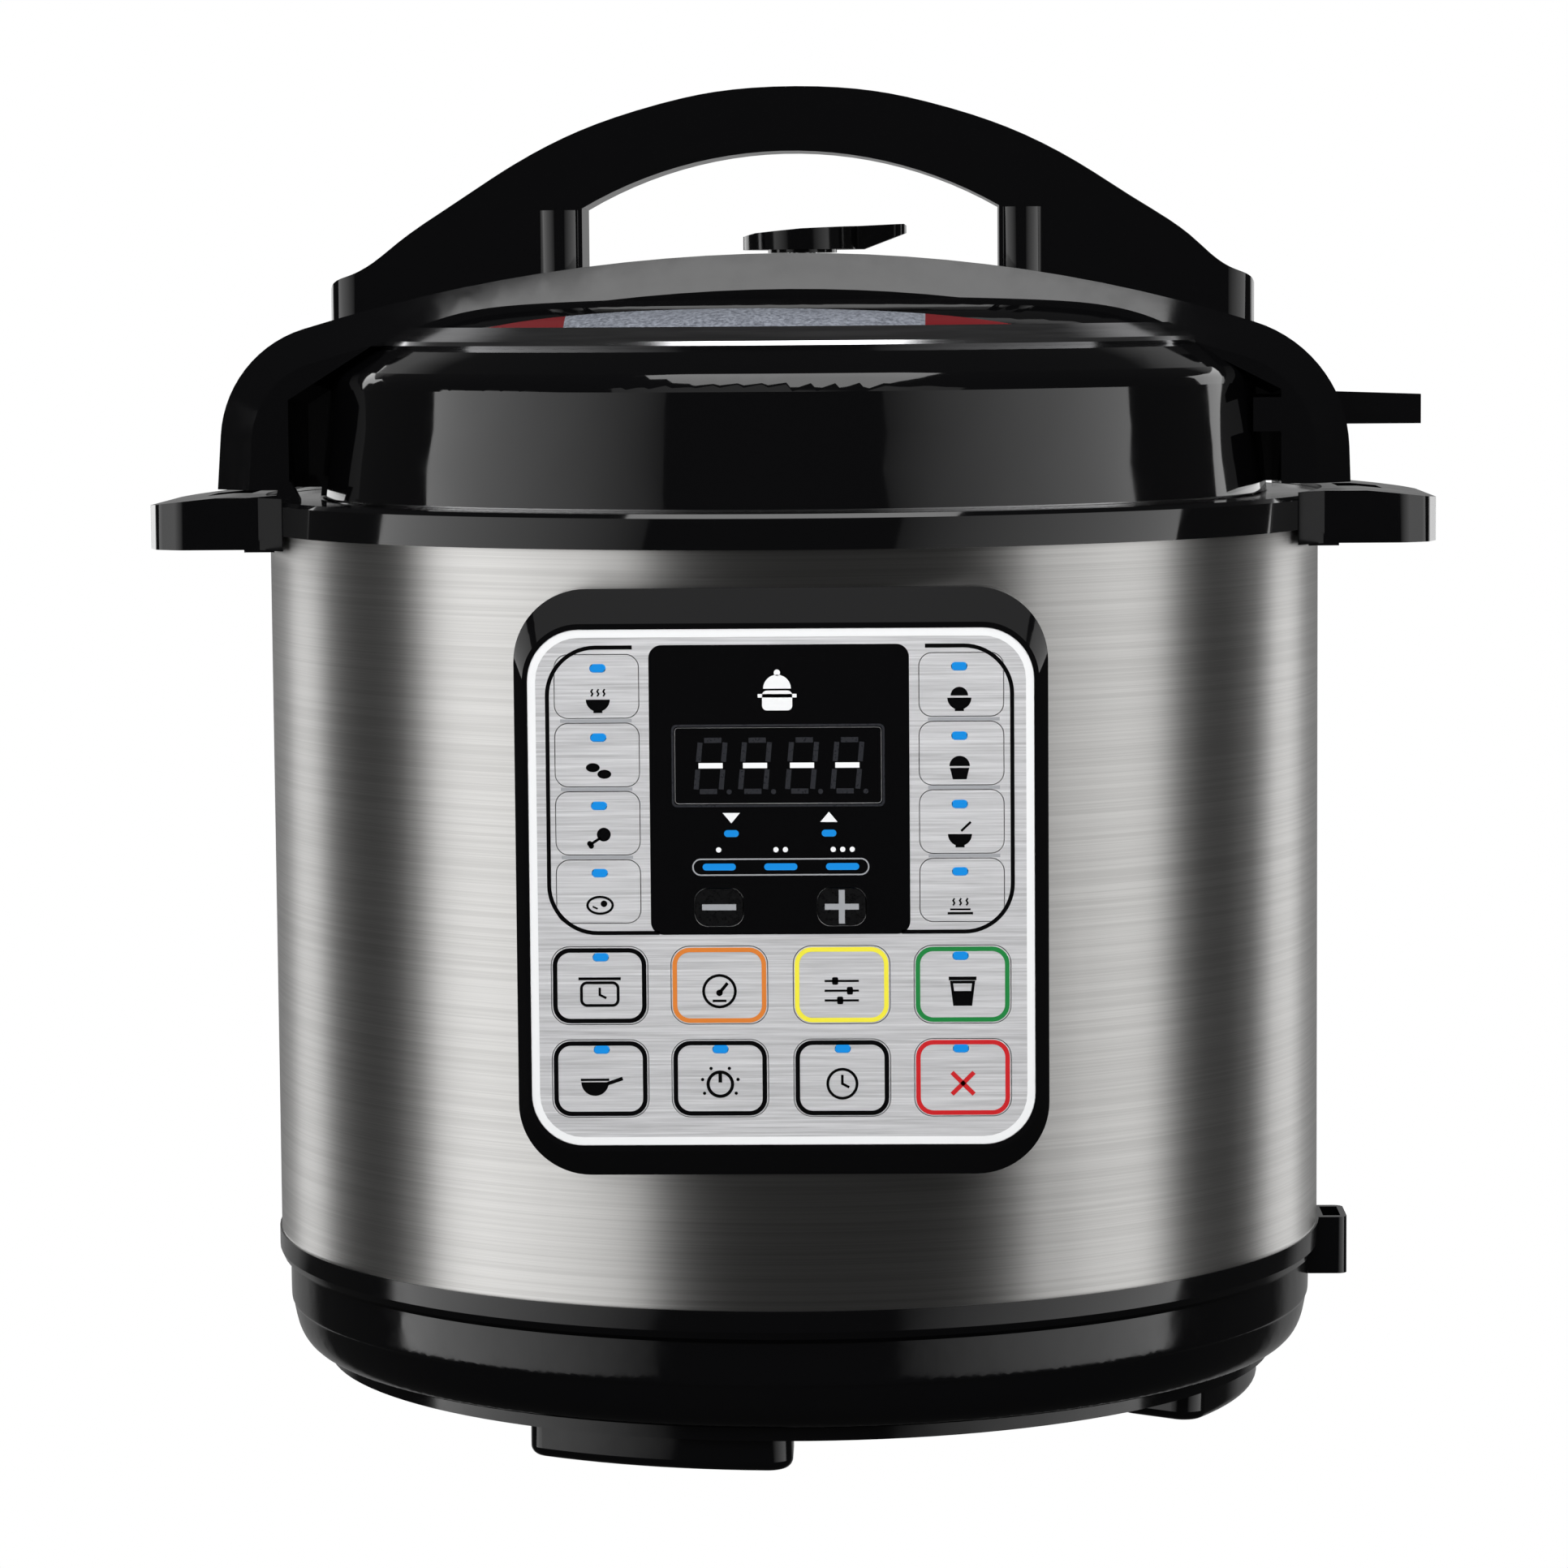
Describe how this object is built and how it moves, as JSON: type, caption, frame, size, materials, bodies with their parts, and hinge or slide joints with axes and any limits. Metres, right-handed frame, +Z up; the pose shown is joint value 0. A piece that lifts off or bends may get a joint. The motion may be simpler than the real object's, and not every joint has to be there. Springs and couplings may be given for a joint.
{
  "type": "electric pressure cooker",
  "caption": "Free-standing electric pressure cooker: brushed round body, key panel with display, domed turning lid with arched carry handle, side grips.",
  "frame": {"origin": "on the floor under the centre of the object's box; the cooker's own upright axis stands 10.4 mm in front of it", "axes": "+Z up, control panel towards -Y, carry handle along X"},
  "size_m": [0.3236, 0.2952, 0.332],
  "materials": {
    "sleeve_steel": "horizontally brushed stainless sheet",
    "gloss_black": "polished black ABS",
    "satin_black": "satin black heat-resistant plastic",
    "trim_steel": "polished stainless trim",
    "pot_steel": "drawn stainless steel",
    "cast_aluminium": "machined cast aluminium",
    "spring_steel": "plain spring wire",
    "overlay_print": "printed sheet with a brushed silver ground",
    "key_silver": "printed key face with a brushed silver ground",
    "key_black": "printed key face on black",
    "smoke_window": "smoked acrylic window",
    "lamp_blue": "lit blue light pipe",
    "board_green": "solder-masked circuit board",
    "silicone": "translucent silicone",
    "clear_cup": "clear polycarbonate",
    "label_print": "printed foil sticker",
    "screw_steel": "zinc-plated screws",
    "pin_brass": "brass contact blades"
  },
  "bodies": {
    "base": {"outer_sleeve": "sleeve_steel", "upper_collar": "gloss_black", "side_handle_left": "gloss_black", "side_handle_right": "gloss_black", "handle_covers": "gloss_black", "base_ring": "gloss_black", "base_shell": "satin_black", "feet": "satin_black", "outer_pot": "pot_steel", "heating_plate": "cast_aluminium", "sensor_spring": "spring_steel", "pressure_switch": "satin_black", "control_bezel": "gloss_black", "panel_overlay": "overlay_print", "display_window": "smoke_window", "display_module": "satin_black", "control_board": "board_green", "key_switches": "satin_black", "light_pipes": "lamp_blue", "power_board": "board_green", "power_inlet": "satin_black", "inlet_pins": "pin_brass", "base_screws": "screw_steel", "ladle_holder": "satin_black"},
    "seal": {"sealing_ring": "silicone", "ring_rack": "pot_steel"},
    "lid": {"lid_plate": "pot_steel", "lid_cover": "gloss_black", "lid_bridge": "gloss_black", "lid_trim": "trim_steel", "lid_label": "label_print", "carry_handle": "gloss_black", "lid_screws": "screw_steel", "exhaust_pipe": "pot_steel", "anti_block_shield": "pot_steel"},
    "steam_knob": {"steam_knob": "gloss_black"},
    "float_valve": {"float_valve": "cast_aluminium"},
    "lock_slider": {"lock_slider": "satin_black"},
    "inner_pot": {"inner_pot": "pot_steel"},
    "temperature_sensor": {"temperature_sensor": "cast_aluminium"},
    "condensation_cup": {"condensation_cup": "clear_cup"},
    "key_soup": {"key_soup": "key_silver"},
    "key_bean": {"key_bean": "key_silver"},
    "key_fried": {"key_fried": "key_silver"},
    "key_meat": {"key_meat": "key_silver"},
    "key_rice": {"key_rice": "key_silver"},
    "key_cake": {"key_cake": "key_silver"},
    "key_porridge": {"key_porridge": "key_silver"},
    "key_steam": {"key_steam": "key_silver"},
    "key_slow_cook": {"key_slow_cook": "key_silver"},
    "key_pressure": {"key_pressure": "key_silver"},
    "key_adjust": {"key_adjust": "key_silver"},
    "key_yogurt": {"key_yogurt": "key_silver"},
    "key_saute": {"key_saute": "key_silver"},
    "key_manual": {"key_manual": "key_silver"},
    "key_timer": {"key_timer": "key_silver"},
    "key_cancel": {"key_cancel": "key_silver"},
    "key_minus": {"key_minus": "key_black"},
    "key_plus": {"key_plus": "key_black"}
  },
  "joints": [
    {"name": "lid_lift", "type": "slide", "parent": "base", "child": "seal", "axis": [0, 0, 1], "range_m": [0, 0.36]},
    {"name": "lid_turn", "type": "hinge", "parent": "seal", "child": "lid", "pos_m": [0, -0.0104, 0.25], "axis": [0, 0, 1], "range_deg": [-30, 0]},
    {"name": "pot_lift", "type": "slide", "parent": "base", "child": "inner_pot", "axis": [0, 0, 1], "range_m": [0, 0.19]},
    {"name": "steam_knob_turn", "type": "hinge", "parent": "lid", "child": "steam_knob", "pos_m": [0.002, 0.0206, 0.29], "axis": [0, 0, 1], "range_deg": [0, 45]},
    {"name": "float_rise", "type": "slide", "parent": "lid", "child": "float_valve", "axis": [0, 0, 1], "range_m": [0, 0.005]},
    {"name": "lock_slide", "type": "slide", "parent": "lid", "child": "lock_slider", "axis": [1, 0, 0], "range_m": [-0.003, 0], "stiffness_N_per_m": 150},
    {"name": "sensor_press", "type": "slide", "parent": "base", "child": "temperature_sensor", "axis": [0, 0, 1], "range_m": [-0.003, 0], "stiffness_N_per_m": 800, "springref_m": 0.004, "deforming": ["sensor_spring"]},
    {"name": "cup_pull", "type": "slide", "parent": "base", "child": "condensation_cup", "axis": [0, 1, 0], "range_m": [0, 0.06]},
    {"name": "key_soup_press", "type": "slide", "parent": "base", "child": "key_soup", "axis": [0, 1, 0], "range_m": [0, 0.0004], "stiffness_N_per_m": 2500},
    {"name": "key_bean_press", "type": "slide", "parent": "base", "child": "key_bean", "axis": [0, 1, 0], "range_m": [0, 0.0004], "stiffness_N_per_m": 2500},
    {"name": "key_fried_press", "type": "slide", "parent": "base", "child": "key_fried", "axis": [0, 1, 0], "range_m": [0, 0.0004], "stiffness_N_per_m": 2500},
    {"name": "key_meat_press", "type": "slide", "parent": "base", "child": "key_meat", "axis": [0, 1, 0], "range_m": [0, 0.0004], "stiffness_N_per_m": 2500},
    {"name": "key_rice_press", "type": "slide", "parent": "base", "child": "key_rice", "axis": [0, 1, 0], "range_m": [0, 0.0004], "stiffness_N_per_m": 2500},
    {"name": "key_cake_press", "type": "slide", "parent": "base", "child": "key_cake", "axis": [0, 1, 0], "range_m": [0, 0.0004], "stiffness_N_per_m": 2500},
    {"name": "key_porridge_press", "type": "slide", "parent": "base", "child": "key_porridge", "axis": [0, 1, 0], "range_m": [0, 0.0004], "stiffness_N_per_m": 2500},
    {"name": "key_steam_press", "type": "slide", "parent": "base", "child": "key_steam", "axis": [0, 1, 0], "range_m": [0, 0.0004], "stiffness_N_per_m": 2500},
    {"name": "key_slow_cook_press", "type": "slide", "parent": "base", "child": "key_slow_cook", "axis": [0, 1, 0], "range_m": [0, 0.0004], "stiffness_N_per_m": 2500},
    {"name": "key_pressure_press", "type": "slide", "parent": "base", "child": "key_pressure", "axis": [0, 1, 0], "range_m": [0, 0.0004], "stiffness_N_per_m": 2500},
    {"name": "key_adjust_press", "type": "slide", "parent": "base", "child": "key_adjust", "axis": [0, 1, 0], "range_m": [0, 0.0004], "stiffness_N_per_m": 2500},
    {"name": "key_yogurt_press", "type": "slide", "parent": "base", "child": "key_yogurt", "axis": [0, 1, 0], "range_m": [0, 0.0004], "stiffness_N_per_m": 2500},
    {"name": "key_saute_press", "type": "slide", "parent": "base", "child": "key_saute", "axis": [0, 1, 0], "range_m": [0, 0.0004], "stiffness_N_per_m": 2500},
    {"name": "key_manual_press", "type": "slide", "parent": "base", "child": "key_manual", "axis": [0, 1, 0], "range_m": [0, 0.0004], "stiffness_N_per_m": 2500},
    {"name": "key_timer_press", "type": "slide", "parent": "base", "child": "key_timer", "axis": [0, 1, 0], "range_m": [0, 0.0004], "stiffness_N_per_m": 2500},
    {"name": "key_cancel_press", "type": "slide", "parent": "base", "child": "key_cancel", "axis": [0, 1, 0], "range_m": [0, 0.0004], "stiffness_N_per_m": 2500},
    {"name": "key_minus_press", "type": "slide", "parent": "base", "child": "key_minus", "axis": [0, 1, 0], "range_m": [0, 0.0004], "stiffness_N_per_m": 2500},
    {"name": "key_plus_press", "type": "slide", "parent": "base", "child": "key_plus", "axis": [0, 1, 0], "range_m": [0, 0.0004], "stiffness_N_per_m": 2500}
  ],
  "couplings": [
    {"joint": "pot_lift", "follows": "lid_lift", "ratio": 0.5}
  ]
}
